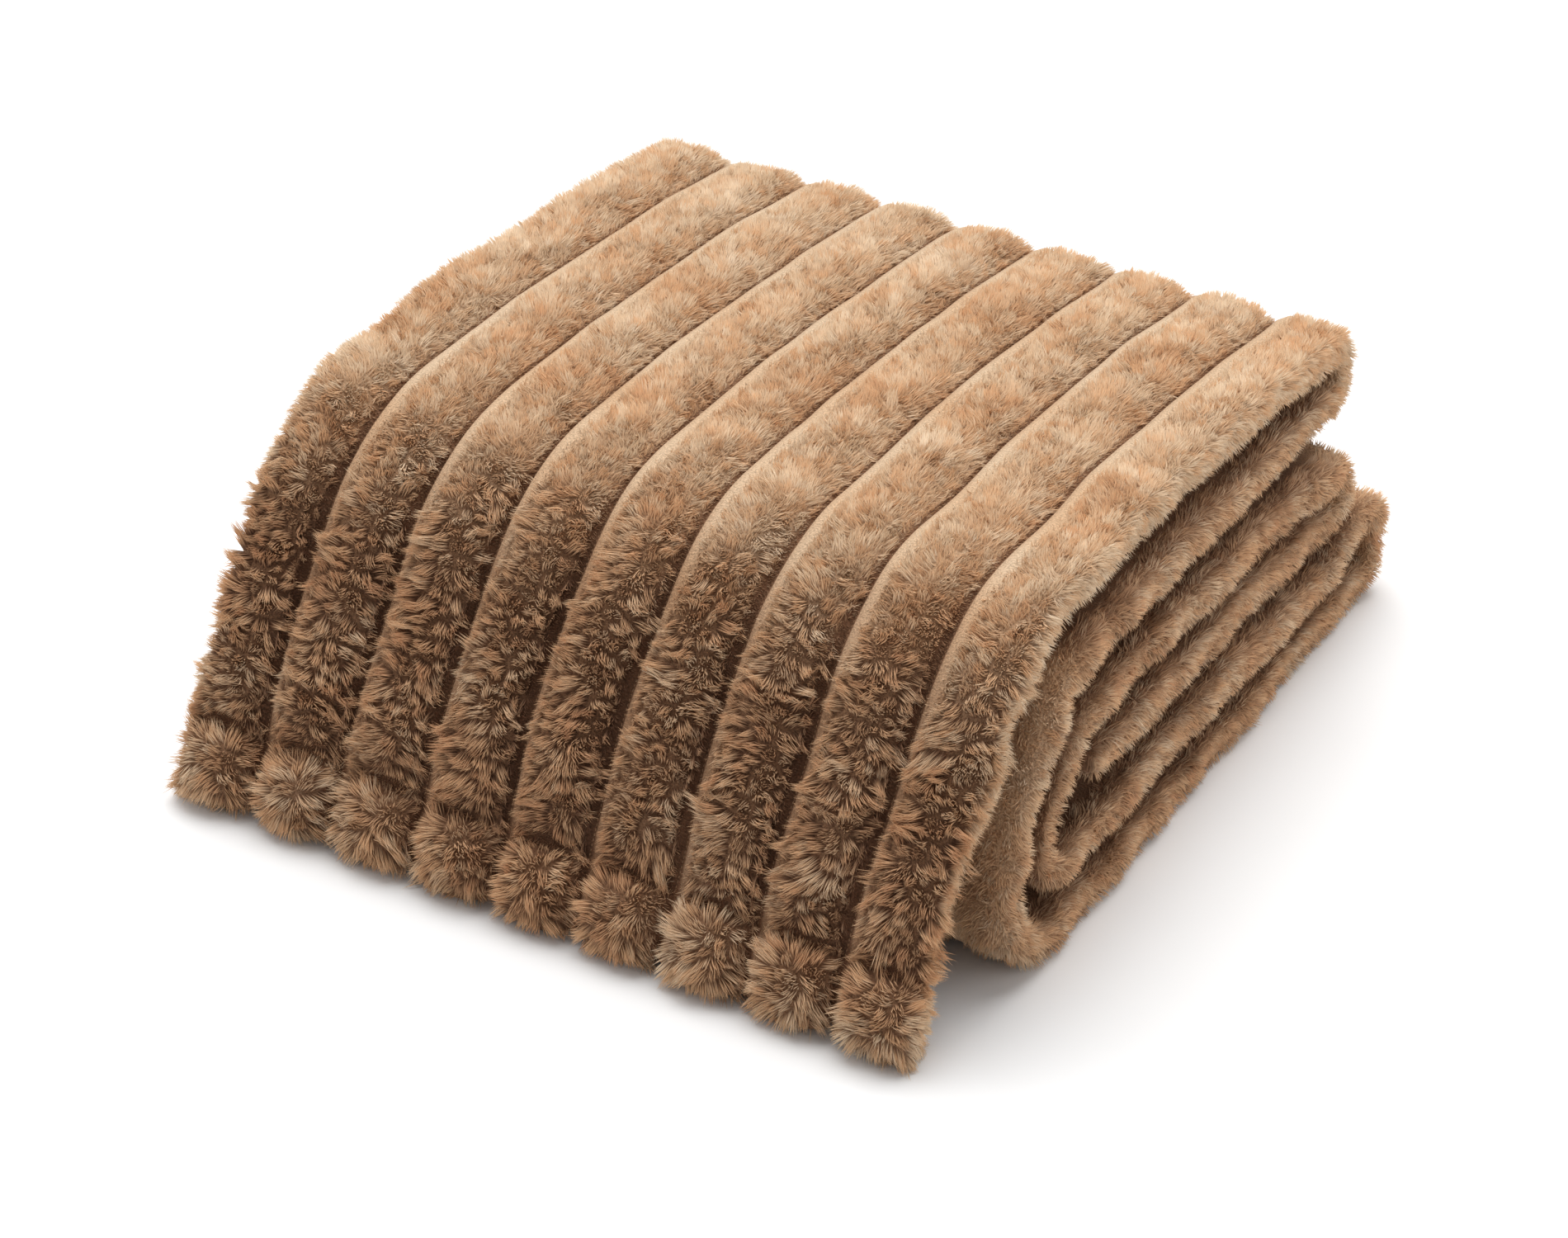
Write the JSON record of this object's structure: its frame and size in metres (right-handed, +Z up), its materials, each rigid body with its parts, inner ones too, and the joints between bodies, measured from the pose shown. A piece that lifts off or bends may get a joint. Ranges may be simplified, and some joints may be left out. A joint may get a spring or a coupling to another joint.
{
  "type": "folded faux fur throw",
  "caption": "Channelled faux fur throw folded back and forth into a thick stack, its front end draped down to the table with round tufts along the hem.",
  "frame": {"origin": "centre of the bounding box in plan, on the surface that the throw lies on", "axes": "+X across the channels, +Y from the front hem to the rear bends, +Z up"},
  "size_m": [0.48, 0.5294, 0.1969],
  "materials": {
    "plush": "deep soft pile, dull with a light sheen"
  },
  "bodies": {
    "root": {"throw_cloth": "plush"}
  },
  "joints": []
}
